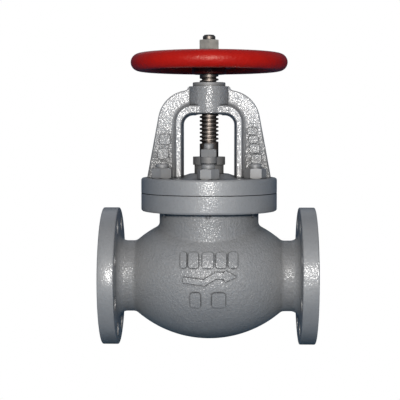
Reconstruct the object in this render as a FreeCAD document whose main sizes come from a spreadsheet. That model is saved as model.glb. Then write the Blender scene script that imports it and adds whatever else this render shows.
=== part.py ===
import FreeCAD, Part
import math
import os

import Sketcher

# A flanged, bolted-bonnet globe valve with a rising stem, in millimetres. Every piece is drawn about the
# stem's axis, with the pipe's axis at height 0 and the front of the valve towards -Y. Its Placement then
# moves it so that the origin is the centre of the inlet flange's face, +X follows the flow and +Z runs up
# the stem.

DRIVING_SIZES = [
    ("face_to_face", 270.0, "length between the two flange faces"),
    ("port_bore", 65.0, "bore of the inlet and the outlet"),
    ("flange_od", 175.0, "end flange diameter"),
    ("flange_thick", 20.0, "end flange thickness"),
    ("flange_pcd", 140.0, "bolt circle of the end flanges"),
    ("flange_hole", 19.0, "bolt hole of the end flanges"),
    ("flange_hole_count", 8, "bolt holes in each end flange, none on a centre line"),
    ("flange_edge", 1.2, "broken edge of the end flanges"),
    ("flange_fillet", 11.0, "fillet from an end flange to its neck"),
    ("port_neck", 90.4, "outside diameter of the necks behind the end flanges"),
    ("globe_height", 80.0, "greatest radius of the globe about the pipe's axis"),
    ("globe_arc", 141.0, "radius of the globe's outline"),
    ("globe_blend", 9.0, "fillet from the globe to the end necks"),
    ("body_wall", 9.0, "wall of the globe"),
    ("neck_od", 126.5, "outside diameter of the neck under the bonnet"),
    ("neck_bore", 104.0, "bore of that neck"),
    ("neck_bore_floor", 45.0, "height where the neck's bore meets the globe"),
    ("neck_blend", 7.0, "fillet from that neck to the globe"),
    ("cover_od", 173.0, "diameter of the two flanges of the bonnet joint"),
    ("cover_edge", 3.0, "rounding of their outer edges"),
    ("body_flange_floor", 83.8, "underside of the body's bonnet flange"),
    ("body_flange_top", 106.2, "top of the body's bonnet flange"),
    ("joint_gap", 1.0, "gap between the two flanges, set by the gasket"),
    ("gasket_od", 118.0, "gasket outside diameter"),
    ("bonnet_top", 126.0, "top of the bonnet's flange"),
    ("stud_pcd", 134.0, "bolt circle of the bonnet studs"),
    ("stud_size", 16.0, "bonnet stud diameter"),
    ("stud_depth", 21.0, "length of a bonnet stud inside the body's flange"),
    ("stud_above_nut", 5.8, "length of a bonnet stud above its nut"),
    ("stud_bevel", 1.5, "bevel at the foot of a bonnet stud"),
    ("stud_dome", 2.5, "rounding of the top of a bonnet stud"),
    ("stud_clearance", 0.5, "clearance round a stud that passes through a hole"),
    ("nut_flats", 24.0, "width across flats of the M16 nuts"),
    ("nut_thick", 13.0, "height of the M16 nuts"),
    ("neck_rib", 2.4, "radius of the small cast rib under each bonnet stud"),
    ("neck_rib_length", 5.5, "length of that rib"),
    ("bridge_height", 8.0, "middle of the wall between the inlet and the outlet side"),
    ("bridge_wall", 10.0, "thickness of that wall"),
    ("bridge_half", 41.5, "half the length of its level part"),
    ("bridge_run", 35.0, "sideways run of its sloping parts"),
    ("bridge_rise", 32.0, "rise of its sloping parts over that run"),
    ("seat_bore", 62.0, "bore of the seat ring"),
    ("seat_shank", 70.0, "diameter of the seat ring in the bridge wall"),
    ("seat_od", 78.0, "diameter of the seat ring's flange"),
    ("seat_thick", 4.0, "height of that flange"),
    ("seat_land", 1.5, "height of the raised seating land"),
    ("seat_land_inset", 2.0, "how far inside the disc's edge that land ends"),
    ("disc_od", 74.0, "disc diameter"),
    ("disc_thick", 13.0, "disc thickness"),
    ("disc_bevel", 4.0, "fall of the disc's top towards its edge"),
    ("disc_round", 2.0, "rounding of the disc's upper edge and of the step at its hub"),
    ("disc_gap", 0.1, "gap left between disc and seat when shut"),
    ("disc_hub_od", 50.0, "diameter of the disc's hub"),
    ("disc_hub_height", 16.0, "height of the disc's hub"),
    ("disc_pocket", 38.0, "diameter of the pocket that takes the stem's foot"),
    ("disc_nut_flats", 44.0, "width across flats of the ring nut in the disc's hub"),
    ("disc_nut_head", 5.0, "height of that nut's hexagon above the hub"),
    ("lock_screw", 5.0, "diameter of the screw that locks the ring nut"),
    ("lock_screw_length", 8.5, "length of that screw"),
    ("lock_screw_bite", 3.0, "how deep it enters the ring nut"),
    ("lock_drop", 5.0, "how far below the hub's top it sits"),
    ("stem_od", 24.0, "stem and thread diameter"),
    ("stem_foot", 33.0, "diameter of the stem's foot in the disc"),
    ("stem_foot_thick", 7.0, "height of the stem's foot"),
    ("stem_play", 0.15, "clearance at the stem's fits"),
    ("back_collar_od", 33.0, "diameter of the stem's back-seat collar"),
    ("back_collar_thick", 4.0, "height of that collar"),
    ("back_collar_cone", 2.5, "height of the cone on top of it"),
    ("lift", 20.0, "travel of the disc from shut to fully open"),
    ("back_seat_floor", 80.0, "underside of the back-seat bush"),
    ("bush_od", 31.0, "outside diameter of the back-seat bush"),
    ("packing_floor", 90.0, "floor of the packing chamber"),
    ("packing_od", 37.4, "diameter of the packing chamber"),
    ("packing_section", 6.5, "height of one packing ring"),
    ("packing_count", 5, "packing rings"),
    ("box_od", 58.0, "outside diameter of the packing box inside the valve"),
    ("hub_top", 131.0, "top of the packing box"),
    ("hub_od", 50.0, "diameter of the packing box above the bonnet's flange"),
    ("hub_foot_od", 80.0, "diameter where its sloping foot meets the flange"),
    ("spigot_depth", 9.0, "depth of the spigot that centres the bonnet"),
    ("spigot_wall", 7.0, "wall of that spigot"),
    ("gland_floor", 142.2, "underside of the gland's flange"),
    ("gland_top", 152.6, "top of the gland's flange"),
    ("gland_edge", 1.0, "rounding under the middle of the gland"),
    ("gland_play", 0.1, "clearance between the gland's sleeve and the packing chamber"),
    ("gland_od", 41.0, "diameter of the middle of the gland"),
    ("gland_ear", 20.4, "width of the gland's ears"),
    ("gland_ear_thick", 7.5, "thickness of the gland's ears"),
    ("gland_pitch", 60.0, "distance between the gland studs"),
    ("gland_stud", 12.0, "gland stud diameter"),
    ("gland_stud_depth", 18.0, "length of a gland stud inside its boss"),
    ("gland_stud_bevel", 1.0, "bevel at the foot of a gland stud"),
    ("gland_stud_dome", 3.0, "rounding of the top of a gland stud"),
    ("gland_nut_flats", 19.0, "width across flats of the gland nuts"),
    ("gland_nut_thick", 10.0, "height of the gland nuts"),
    ("gland_stud_top", 170.0, "top of the gland studs"),
    ("gland_boss", 22.0, "diameter of the bosses that hold the gland studs"),
    ("window_half", 32.0, "half the width of the yoke's window at its middle depth"),
    ("window_top", 205.0, "top of the yoke's window at its middle depth"),
    ("window_draft", 2.8, "how far the window's wall leans back from its middle to the front and the back"),
    ("window_corner", 12.0, "radius of the window's upper corners"),
    ("rib_wide", 9.8, "width of the rib round the window"),
    ("rib_top", 12.5, "height of that rib above the window"),
    ("rib_deep", 46.0, "depth of that rib, front to back"),
    ("web_deep", 17.0, "depth of the yoke's flat web"),
    ("shoulder_x", 59.3, "point where the yoke's leg and top lines would meet, from the axis"),
    ("shoulder_z", 230.1, "height of that point"),
    ("shoulder_arc", 40.3, "radius of the yoke's shoulder"),
    ("foot_half", 79.1, "half the yoke's width at the bonnet's flange"),
    ("boss_od", 51.4, "diameter of the boss on top of the yoke"),
    ("boss_top", 241.6, "top of that boss"),
    ("boss_join_x", 26.9, "distance from the axis where the web's top turns up along the boss"),
    ("boss_join_z", 237.3, "height of that turn"),
    ("boss_join_arc", 3.6, "radius of that turn"),
    ("boss_join_top", 240.4, "where the web ends below the boss's top"),
    ("boss_floor", 208.4, "underside of the boss where it stands out from the rib"),
    ("rib_edge", 1.5, "rounding of the rib's edges"),
    ("web_edge", 2.0, "rounding of the web's outer edges"),
    ("web_fillet", 6.0, "fillet between rib and web"),
    ("bush_screw", 6.0, "diameter of the screw that locks the yoke bush"),
    ("bush_screw_height", 224.0, "height of that screw"),
    ("bush_screw_bite", 2.0, "how deep it enters the yoke bush"),
    ("bush_screw_drop", 1.0, "how far its head stays below the boss's surface"),
    ("yoke_bush_od", 34.0, "diameter of the yoke bush in the boss"),
    ("collar_od", 41.6, "diameter of the yoke bush's collar"),
    ("collar_thick", 5.2, "height of that collar"),
    ("collar_edge", 1.0, "rounding of that collar"),
    ("thread_pitch", 5.0, "pitch of the stem's trapezoidal thread"),
    ("thread_depth", 2.75, "depth of that thread"),
    ("thread_start", 168.0, "lower end of the stem's thread when shut"),
    ("thread_play", 0.3, "clearance between the two threads, square to their faces"),
    ("wheel_od", 199.0, "handwheel diameter"),
    ("rim_section", 22.0, "diameter of the handwheel's rim section"),
    ("rim_height", 272.0, "height of the rim's middle"),
    ("wheel_hub_od", 44.0, "handwheel hub diameter"),
    ("wheel_hub_floor", 257.0, "underside of the handwheel's hub"),
    ("wheel_hub_top", 284.5, "top of the handwheel's hub"),
    ("wheel_hub_edge", 2.0, "rounding of the hub's edges"),
    ("spoke_root", 4.0, "how far a spoke runs into the hub"),
    ("spoke_count", 5, "handwheel spokes"),
    ("spoke_wide", 17.0, "width of a spoke"),
    ("spoke_thick", 9.0, "thickness of a spoke"),
    ("square", 18.0, "side of the square that carries the handwheel"),
    ("square_play", 0.1, "clearance on each side of that square"),
    ("square_drop", 2.0, "how far the square ends below the hub's top"),
    ("washer_od", 32.0, "handwheel washer diameter"),
    ("washer_thick", 3.0, "handwheel washer thickness"),
    ("stem_top", 306.8, "top of the stem"),
    ("stem_tip", 2.0, "bevel at the top of the stem"),
    ("mark_height", 1.6, "height of the raised cast marks on the globe"),
    ("leg_mark_height", 1.1, "height of the raised marks on the yoke's legs"),
    ("mark_tall", 18.5, "height of a blank mark on the globe"),
    ("mark_corner", 3.0, "rounding of the blank marks"),
]

doc = FreeCAD.newDocument("globe_valve")
sheet = doc.addObject("Spreadsheet::Sheet", "Sizes")


class Size:
    """A value together with the spreadsheet expression that works it out."""

    def __init__(self, value, text):
        self.value = float(value)
        self.text = text

    def __add__(self, other):
        return combined(self, "+", other)

    def __radd__(self, other):
        return combined(other, "+", self)

    def __sub__(self, other):
        return combined(self, "-", other)

    def __rsub__(self, other):
        return combined(other, "-", self)

    def __mul__(self, other):
        return combined(self, "*", other)

    def __rmul__(self, other):
        return combined(other, "*", self)

    def __truediv__(self, other):
        return combined(self, "/", other)

    def __neg__(self):
        return Size(-self.value, "(-" + self.text + ")")


def size(value):
    """The value as a Size, a plain number standing for itself."""
    if isinstance(value, Size):
        return value
    return Size(value, repr(float(value)))


def combined(first, sign, second):
    """Joins two values with an arithmetic sign, in number and in expression."""
    left = size(first)
    right = size(second)
    results = {
        "+": left.value + right.value,
        "-": left.value - right.value,
        "*": left.value * right.value,
        "/": left.value / right.value if right.value else 0.0,
    }
    return Size(results[sign], "(" + left.text + " " + sign + " " + right.text + ")")


class Table:
    """The driving dimensions, each read by its alias."""


D = Table()
for row, (alias, number, remark) in enumerate(DRIVING_SIZES, start=1):
    sheet.set("A" + str(row), alias)
    sheet.set("B" + str(row), str(number))
    sheet.set("C" + str(row), remark)
    sheet.setAlias("B" + str(row), alias)
    setattr(D, alias, Size(number, "Sizes." + alias))
doc.recompute()

STEM_X = D.face_to_face / 2
BONNET_FLOOR = D.body_flange_top + D.joint_gap
SEAT_TOP = D.bridge_height + D.bridge_wall / 2 + D.seat_thick
DISC_FLOOR = SEAT_TOP + D.seat_land + D.disc_gap
DISC_TOP = DISC_FLOOR + D.disc_thick
FOOT_TOP = DISC_TOP + D.stem_play + D.stem_foot_thick
SCREW_END = -(D.yoke_bush_od / 2 - D.bush_screw_bite)
LOCK_END = D.disc_pocket / 2 - D.lock_screw_bite

# Angles in degrees: the first bolt hole, the step between the bonnet's studs, how far each nut has been turned,
# the cone that cuts a nut's corners, and the flanks of the stem's thread.
FIRST_HOLE = 22.5
STUD_STEP = 60
NUT_TURNS = (-14, 3, 11, 20, -8, 27)
GLAND_NUTS = (("front", -1, 30), ("rear", 1, 8))
NUT_CONE = 30
THREAD_FLANK = 15

# The outlet's holes are drilled this much wider in radius, inside a drilled hole's tolerance, so the two rows,
# which share their axes, never count as one.
OUTLET_DRILL_EXTRA = 0.16
STUD_COUNT = 6
PACKING_WASHER = 2.0
HEX_CORNER = 1 / math.sqrt(3)

# How far a cut runs past the surface it opens, how deep a raised shape is sunk before it is joined, the
# straight bit left between two full roundings, and how close two measures must be to count as the same.
OVERCUT = 1.0
SUNK = 2.0
BIT_LEFT = 0.05
CLOSE = 0.01

# The raised marks: the arrow's outline (x, z), the sides of the blank marks on the globe, and those on the
# yoke's legs as (left, right, low, high). They start inside the globe, at this share of its radius, and the
# leg marks lean with the legs.
FLOW_ARROW = [
    (-31.0, 1.0),
    (-3.7, -2.1),
    (9.7, 6.5),
    (19.4, 5.9),
    (20.6, 2.2),
    (34.8, 8.1),
    (21.2, 15.9),
    (19.4, 13.2),
    (9.7, 14.0),
    (-5.5, 4.9),
    (-29.8, 7.7),
]
MARKS_START = 0.6
UPPER_MARKS = [(-34.0, -26.5), (-24.0, -12.0), (-7.0, 6.5), (10.0, 22.0), (25.0, 36.0)]
UPPER_MARKS_FLOOR = 19.0
LOWER_MARKS = [(-21.5, -9.5), (5.0, 21.0)]
LOWER_MARKS_FLOOR = -30.0
LEFT_LEG_MARKS = [(-63.5, -50.5, 168.5, 181.0), (-63.5, -50.5, 150.5, 163.0)]
RIGHT_LEG_MARKS = [
    (51.5, 63.5, 181.0, 189.5),
    (51.5, 63.5, 170.5, 179.0),
    (51.5, 63.5, 158.0, 168.5),
    (51.5, 63.5, 144.0, 155.5),
]
LEG_MARK_LEVEL = 166.0
LEG_MARK_LEAN = 0.15
subparts = []


# ---- helpers: objects of the document, with every size bound to the sheet ----


def bind(thing, prop, value):
    """Binds one property to its expression."""
    thing.setExpression(prop, size(value).text)


def new_body(label):
    """A PartDesign body."""
    body = doc.addObject("PartDesign::Body", label)
    body.Label = label
    return body


def origin_part(body, role):
    """One plane or axis of a body's own origin."""
    for feature in body.Origin.OriginFeatures:
        if feature.Role == role:
            return feature
    raise ValueError(role)


def new_sketch(body, name, role, lift=0, turn=0):
    """A sketch on one of the body's planes, lifted along its normal and turned about it."""
    sketch = body.newObject("Sketcher::SketchObject", name)
    sketch.AttachmentSupport = [(origin_part(body, role), "")]
    sketch.MapMode = "FlatFace"
    offset = FreeCAD.Placement(
        FreeCAD.Vector(0, 0, size(lift).value), FreeCAD.Rotation(FreeCAD.Vector(0, 0, 1), turn)
    )
    sketch.AttachmentOffset = offset
    bind(sketch, "AttachmentOffset.Base.z", lift)
    return sketch


def dimension(sketch, kind, first, point, value):
    """A dimension from the sketch's origin, or a radius, bound to its expression."""
    number = size(value)
    if kind == "Radius":
        index = sketch.addConstraint(Sketcher.Constraint(kind, first, number.value))
    elif number.value == 0:
        axis = -2 if kind == "DistanceX" else -1
        sketch.addConstraint(Sketcher.Constraint("PointOnObject", first, point, axis))
        return
    else:
        index = sketch.addConstraint(Sketcher.Constraint(kind, -1, 1, first, point, number.value))
    if isinstance(value, Size):
        sketch.setExpression("Constraints[" + str(index) + "]", number.text)


class Corner:
    """A corner of an outline. rounded is its radius; bow is the radius of an outward arc that leaves it."""

    def __init__(self, x, y, rounded=None, bow=None):
        self.x = x
        self.y = y
        self.rounded = rounded
        self.bow = bow
        self.point = FreeCAD.Vector(size(x).value, size(y).value, 0)


def arc_between(start, end, centre):
    """The shorter arc from start to end, always stored anticlockwise, and whether it was turned round."""
    spoke = start - centre
    other = end - centre
    begin = math.atan2(spoke.y, spoke.x)
    finish = math.atan2(other.y, other.x)
    swept = (finish - begin) % (2 * math.pi)
    backwards = swept > math.pi
    if backwards:
        begin, finish = finish, begin
    if finish < begin:
        finish += 2 * math.pi
    circle = Part.Circle(centre, FreeCAD.Vector(0, 0, 1), spoke.Length)
    return Part.ArcOfCircle(circle, begin, finish), backwards


def corner_ends(before, corner, after):
    """Where a rounded corner's arc meets its two sides, and the arc's centre."""
    inward = (before.point - corner.point).normalize()
    outward = (after.point - corner.point).normalize()
    half = inward.getAngle(outward) / 2
    radius = size(corner.rounded).value
    reach = radius / math.tan(half)
    middle = (inward + outward).normalize()
    return (
        corner.point + inward * reach,
        corner.point + outward * reach,
        corner.point + middle * (radius / math.sin(half)),
    )


def draw_outline(sketch, corners):
    """Draws a closed outline through its corners and fixes every corner by two dimensions."""
    count = len(corners)
    starts = []
    ends = []
    centres = []
    for index, corner in enumerate(corners):
        if corner.rounded is None:
            found = (corner.point, corner.point, None)
        else:
            found = corner_ends(corners[index - 1], corner, corners[(index + 1) % count])
        ends.append(found[0])
        starts.append(found[1])
        centres.append(found[2])
    sides = []
    for index, corner in enumerate(corners):
        start = starts[index]
        end = ends[(index + 1) % count]
        if corner.bow is None:
            sides.append((sketch.addGeometry(Part.LineSegment(start, end), False), 1, 2))
            continue
        radius = size(corner.bow).value
        chord = end - start
        drop = math.sqrt(radius**2 - (chord.Length / 2) ** 2)
        square_off = FreeCAD.Vector(chord.y, -chord.x, 0).normalize()
        centre = (start + end) * 0.5 + square_off * drop
        arc, backwards = arc_between(start, end, centre)
        number = sketch.addGeometry(arc, False)
        sides.append((number, 2, 1) if backwards else (number, 1, 2))
        dimension(sketch, "Radius", number, 0, corner.bow)
    for index, corner in enumerate(corners):
        last = sides[index - 1]
        this = sides[index]
        if corner.rounded is None:
            sketch.addConstraint(Sketcher.Constraint("Coincident", last[0], last[2], this[0], this[1]))
            dimension(sketch, "DistanceX", this[0], this[1], corner.x)
            dimension(sketch, "DistanceY", this[0], this[1], corner.y)
            continue
        arc, backwards = arc_between(ends[index], starts[index], centres[index])
        number = sketch.addGeometry(arc, False)
        first, second = (2, 1) if backwards else (1, 2)
        sketch.addConstraint(Sketcher.Constraint("Tangent", last[0], last[2], number, first))
        sketch.addConstraint(Sketcher.Constraint("Tangent", number, second, this[0], this[1]))
        dimension(sketch, "Radius", number, 0, corner.rounded)
        tip = sketch.addGeometry(Part.Point(corner.point), True)
        sketch.addConstraint(Sketcher.Constraint("PointOnObject", tip, 1, last[0]))
        sketch.addConstraint(Sketcher.Constraint("PointOnObject", tip, 1, this[0]))
        dimension(sketch, "DistanceX", tip, 1, corner.x)
        dimension(sketch, "DistanceY", tip, 1, corner.y)


def draw_circle(sketch, radius, x=0, y=0):
    """A circle fixed by its centre and radius."""
    centre = FreeCAD.Vector(size(x).value, size(y).value, 0)
    circle = Part.Circle(centre, FreeCAD.Vector(0, 0, 1), size(radius).value)
    number = sketch.addGeometry(circle, False)
    dimension(sketch, "Radius", number, 0, radius)
    dimension(sketch, "DistanceX", number, 3, x)
    dimension(sketch, "DistanceY", number, 3, y)


def pad(body, sketch, length, midplane=False, backwards=False):
    """Pads a sketch along its normal, against it, or half each way."""
    feature = body.newObject("PartDesign::Pad", sketch.Name + "_pad")
    feature.Profile = sketch
    feature.Midplane = midplane
    feature.Reversed = backwards
    bind(feature, "Length", length)
    doc.recompute()
    return feature


def pocket(body, sketch, length, midplane=False, backwards=False):
    """Pockets a sketch, and stops if it took nothing away."""
    before = body.Shape.Volume
    feature = body.newObject("PartDesign::Pocket", sketch.Name + "_pocket")
    feature.Profile = sketch
    feature.Midplane = midplane
    feature.Reversed = backwards
    bind(feature, "Length", length)
    doc.recompute()
    if feature.Shape.Volume > before - 1e-3:
        raise RuntimeError(feature.Name + " cuts nothing")
    return feature


def turned(body, sketch, kind, role="Z_Axis"):
    """A full Revolution or Groove about one of the body's axes."""
    feature = body.newObject("PartDesign::" + kind, sketch.Name + "_turned")
    feature.Profile = sketch
    feature.ReferenceAxis = (origin_part(body, role), [""])
    feature.Angle = 360
    doc.recompute()
    return feature


def polar(body, feature, role, count):
    """Repeats a feature about an axis."""
    pattern = body.newObject("PartDesign::PolarPattern", feature.Name + "_ring")
    pattern.Originals = [feature]
    pattern.Axis = (origin_part(body, role), [""])
    pattern.Angle = 360
    bind(pattern, "Occurrences", count)
    body.Tip = pattern
    doc.recompute()
    return pattern


def dress(body, kind, amount, chosen):
    """A Fillet or Chamfer on the body's edges for which chosen(edge) is true."""
    dressed = body.Tip
    names = []
    for index, edge in enumerate(dressed.Shape.Edges, start=1):
        if chosen(edge):
            names.append("Edge" + str(index))
    feature = body.newObject("PartDesign::" + kind, body.Name + "_" + kind + str(len(body.Group)))
    feature.Base = (dressed, names)
    bind(feature, "Radius" if kind == "Fillet" else "Size", amount)
    doc.recompute()
    if not names or "Invalid" in feature.State:
        raise RuntimeError(feature.Name + " on " + str(names) + ": " + feature.getStatusString())
    return feature


def circle_edge(radius, height=None, axis="z"):
    """A test for a round edge about the stem's or the pipe's axis."""
    wanted = size(radius).value

    def chosen(edge):
        curve = edge.Curve
        if not isinstance(curve, Part.Circle) or abs(curve.Radius - wanted) > 0.01:
            return False
        along = curve.Center.z if axis == "z" else curve.Center.x
        off = curve.Center.x if axis == "z" else curve.Center.z
        if abs(curve.Center.y) > 0.01 or abs(off) > 0.01:
            return False
        return height is None or abs(along - size(height).value) < 0.01

    return chosen


def place(thing, x=0, y=0, z=0, turn=0):
    """Puts a finished piece in its place, its position bound to the sheet."""
    base = FreeCAD.Vector(size(STEM_X + x).value, size(y).value, size(z).value)
    thing.Placement = FreeCAD.Placement(base, FreeCAD.Rotation(FreeCAD.Vector(0, 0, 1), turn))
    bind(thing, "Placement.Base.x", STEM_X + x)
    bind(thing, "Placement.Base.y", y)
    bind(thing, "Placement.Base.z", z)
    subparts.append(thing)
    return thing


def boolean(kind, name, base, tool):
    """A Part boolean of two objects."""
    feature = doc.addObject("Part::" + kind, name)
    feature.Base = base
    feature.Tool = tool
    doc.recompute()
    return feature


def turned_body(label, corners, role="Z_Axis"):
    """A body made by turning one outline about its axis."""
    body = new_body(label)
    sketch = new_sketch(body, label + "_outline", "XZ_Plane")
    draw_outline(sketch, corners)
    turned(body, sketch, "Revolution", role)
    return body


def ring(label, inner, outer, floor, top):
    """A plain ring about the stem's axis."""
    corners = [Corner(inner, floor), Corner(outer, floor), Corner(outer, top), Corner(inner, top)]
    return turned_body(label, corners)


def prism(label, corners, depth):
    """A prism across the valve, front to back, from an outline in the XZ plane."""
    body = new_body(label)
    sketch = new_sketch(body, label + "_outline", "XZ_Plane")
    draw_outline(sketch, corners)
    pad(body, sketch, depth, midplane=True)
    return body


def rod(label, diameter, length, lower_chamfer, dome):
    """A stud that stands on height 0, with a chamfered foot and a rounded top."""
    radius = diameter / 2
    corners = [
        Corner(0, 0),
        Corner(radius - lower_chamfer, 0),
        Corner(radius, lower_chamfer),
        Corner(radius, length, rounded=dome),
        Corner(0, length),
    ]
    return turned_body(label, corners)


def draw_hexagon(sketch, flats):
    """A hexagon by its width across flats, a flat towards the front."""
    corner = flats * HEX_CORNER
    outline = [
        Corner(corner, 0),
        Corner(corner / 2, flats / 2),
        Corner(-(corner / 2), flats / 2),
        Corner(-corner, 0),
        Corner(-(corner / 2), -(flats / 2)),
        Corner(corner / 2, -(flats / 2)),
    ]
    draw_outline(sketch, outline)


def hex_nut(label, flats, thick, bore):
    """A hexagon nut that stands on height 0, its corners cut to a cone at both ends."""
    body = new_body(label)
    sketch = new_sketch(body, label + "_hexagon", "XY_Plane")
    draw_hexagon(sketch, flats)
    pad(body, sketch, thick)
    hole = new_sketch(body, label + "_hole", "XY_Plane")
    draw_circle(hole, bore / 2)
    pocket(body, hole, thick, backwards=True)
    outside = flats * HEX_CORNER + OVERCUT
    fall = (outside - flats / 2) * math.tan(math.radians(NUT_CONE))
    upper = new_sketch(body, label + "_upper_cone", "XZ_Plane")
    draw_outline(upper, [Corner(flats / 2, thick), Corner(outside, thick - fall), Corner(outside, thick)])
    turned(body, upper, "Groove")
    lower = new_sketch(body, label + "_lower_cone", "XZ_Plane")
    draw_outline(lower, [Corner(flats / 2, 0), Corner(outside, 0), Corner(outside, fall)])
    turned(body, lower, "Groove")
    return body


# ---- the body casting ----


def is_neck_join(edge):
    """True for the curved edge where the neck under the bonnet meets the globe."""
    point = edge.valueAt((edge.FirstParameter + edge.LastParameter) / 2)
    on_neck = abs(math.hypot(point.x, point.y) - D.neck_od.value / 2) < CLOSE
    in_reach = 0 < point.z < D.body_flange_floor.value
    return on_neck and in_reach and not isinstance(edge.Curve, Part.Line)


def casting_outside():
    """The globe with its end flanges, necks and bonnet flange, still solid."""
    body = new_body("casting_outside")
    half = D.face_to_face / 2
    neck = D.port_neck / 2
    globe_centre = D.globe_height - D.globe_arc
    reach = Size(
        math.sqrt(D.globe_arc.value**2 - (neck.value - globe_centre.value) ** 2),
        "sqrt(Sizes.globe_arc ^ 2 - " + (neck - globe_centre).text + " ^ 2)",
    )
    outline = new_sketch(body, "globe_outline", "XZ_Plane")
    draw_outline(
        outline,
        [
            Corner(-half, 0),
            Corner(-half, D.flange_od / 2),
            Corner(D.flange_thick - half, D.flange_od / 2),
            Corner(D.flange_thick - half, neck, rounded=D.flange_fillet),
            Corner(-reach, neck, bow=D.globe_arc),
            Corner(reach, neck),
            Corner(half - D.flange_thick, neck, rounded=D.flange_fillet),
            Corner(half - D.flange_thick, D.flange_od / 2),
            Corner(half, D.flange_od / 2),
            Corner(half, 0),
        ],
    )
    turned(body, outline, "Revolution", "X_Axis")
    dress(body, "Fillet", D.globe_blend, circle_edge(neck, -reach, "x"))
    dress(body, "Fillet", D.globe_blend, circle_edge(neck, reach, "x"))
    dress(body, "Fillet", D.flange_edge, circle_edge(D.flange_od / 2, None, "x"))
    neck_sketch = new_sketch(body, "bonnet_neck", "XY_Plane")
    draw_circle(neck_sketch, D.neck_od / 2)
    pad(body, neck_sketch, D.body_flange_floor + OVERCUT)
    dress(body, "Fillet", D.neck_blend, is_neck_join)
    flange = new_sketch(body, "bonnet_flange", "XY_Plane", D.body_flange_floor)
    draw_circle(flange, D.cover_od / 2)
    pad(body, flange, D.body_flange_top - D.body_flange_floor)
    dress(body, "Fillet", D.cover_edge, circle_edge(D.cover_od / 2, D.body_flange_floor))
    rib = new_sketch(body, "stud_rib", "XY_Plane", D.body_flange_floor - D.neck_rib_length)
    draw_circle(rib, D.neck_rib, 0, -(D.neck_od / 2))
    rib_pad = pad(body, rib, D.neck_rib_length)
    polar(body, rib_pad, "Z_Axis", STUD_COUNT)
    inlet_drill = D.flange_hole / 2
    outlet_drill = inlet_drill + OUTLET_DRILL_EXTRA
    for name, lift, backwards, drill in (
        ("inlet_holes", -half, True, inlet_drill),
        ("outlet_holes", half, False, outlet_drill),
    ):
        holes = new_sketch(body, name, "YZ_Plane", lift)
        across = D.flange_pcd / 2 * math.cos(math.radians(FIRST_HOLE))
        up = D.flange_pcd / 2 * math.sin(math.radians(FIRST_HOLE))
        draw_circle(holes, drill, across, up)
        cut = pocket(body, holes, D.flange_thick + OVERCUT, backwards=backwards)
        polar(body, cut, "X_Axis", D.flange_hole_count)
    tapped = new_sketch(body, "tapped_holes", "XY_Plane", D.body_flange_top)
    draw_circle(tapped, D.stud_size / 2, 0, -(D.stud_pcd / 2))
    cut = pocket(body, tapped, D.stud_depth)
    polar(body, cut, "Z_Axis", STUD_COUNT)
    return body


def chamber():
    """The space inside the globe, as if it had no wall between inlet and outlet."""
    half = D.face_to_face / 2
    bore = D.port_bore / 2
    inner_arc = D.globe_arc - D.body_wall
    globe_centre = D.globe_height - D.globe_arc
    reach = Size(
        math.sqrt(inner_arc.value**2 - (bore.value - globe_centre.value) ** 2),
        "sqrt(" + inner_arc.text + " ^ 2 - " + (bore - globe_centre).text + " ^ 2)",
    )
    outline = [
        Corner(-(half + OVERCUT), 0),
        Corner(-(half + OVERCUT), bore),
        Corner(-reach, bore, bow=inner_arc),
        Corner(reach, bore),
        Corner(half + OVERCUT, bore),
        Corner(half + OVERCUT, 0),
    ]
    return turned_body("chamber", outline, "X_Axis")


def bridge_corner(side, run):
    """The offset, along X, from the wall's middle line to its face on a sloping part."""
    slope = math.hypot(D.bridge_run.value, D.bridge_rise.value)
    along = (slope - D.bridge_run.value) / D.bridge_rise.value
    return side * along * D.bridge_wall / 2 + run


def casting():
    """The hollow casting: an S-shaped wall parts the inlet, below the seat, from the outlet above it."""
    solid = casting_outside()
    space = chamber()
    far = D.face_to_face
    slope = D.bridge_run / D.bridge_rise
    below = D.bridge_height - D.bridge_wall / 2
    above = D.bridge_height + D.bridge_wall / 2
    low_left = bridge_corner(-1, -D.bridge_half)
    low_right = bridge_corner(-1, D.bridge_half)
    high_left = bridge_corner(1, -D.bridge_half)
    high_right = bridge_corner(1, D.bridge_half)
    reach = D.globe_height + OVERCUT
    inlet_prism = prism(
        "inlet_prism",
        [
            Corner(-far, -reach),
            Corner(low_right + slope * (below + reach), -reach),
            Corner(low_right, below),
            Corner(low_left, below),
            Corner(low_left - slope * (reach - below), reach),
            Corner(-far, reach),
        ],
        D.globe_height * 2,
    )
    outlet_prism = prism(
        "outlet_prism",
        [
            Corner(high_left, above),
            Corner(high_right, above),
            Corner(high_right + slope * (above + reach), -reach),
            Corner(far, -reach),
            Corner(far, D.body_flange_top + OVERCUT),
            Corner(high_left - slope * (D.body_flange_top + OVERCUT - above), D.body_flange_top + OVERCUT),
        ],
        D.globe_height * 2,
    )
    inlet_space = boolean("Common", "inlet_space", space, inlet_prism)
    outlet_globe = boolean("Common", "outlet_globe", space, outlet_prism)
    neck = new_body("neck_space")
    circle = new_sketch(neck, "neck_space_circle", "XY_Plane", D.neck_bore_floor)
    draw_circle(circle, D.neck_bore / 2)
    pad(neck, circle, D.body_flange_top - D.neck_bore_floor + OVERCUT)
    seat_hole = new_body("seat_hole")
    circle = new_sketch(seat_hole, "seat_hole_circle", "XY_Plane", below - OVERCUT)
    draw_circle(circle, D.seat_shank / 2)
    pad(seat_hole, circle, D.bridge_wall + 2 * OVERCUT)
    part = boolean("Cut", "casting_with_inlet", solid, inlet_space)
    part = boolean("Cut", "casting_with_outlet", part, outlet_globe)
    part = boolean("Cut", "casting_with_neck", part, neck)
    part = boolean("Cut", "casting_hollow", part, seat_hole)
    finished = boolean("Fuse", "valve_body", part, raised_marks())
    finished.Label = "valve_body"
    place(finished)


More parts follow.
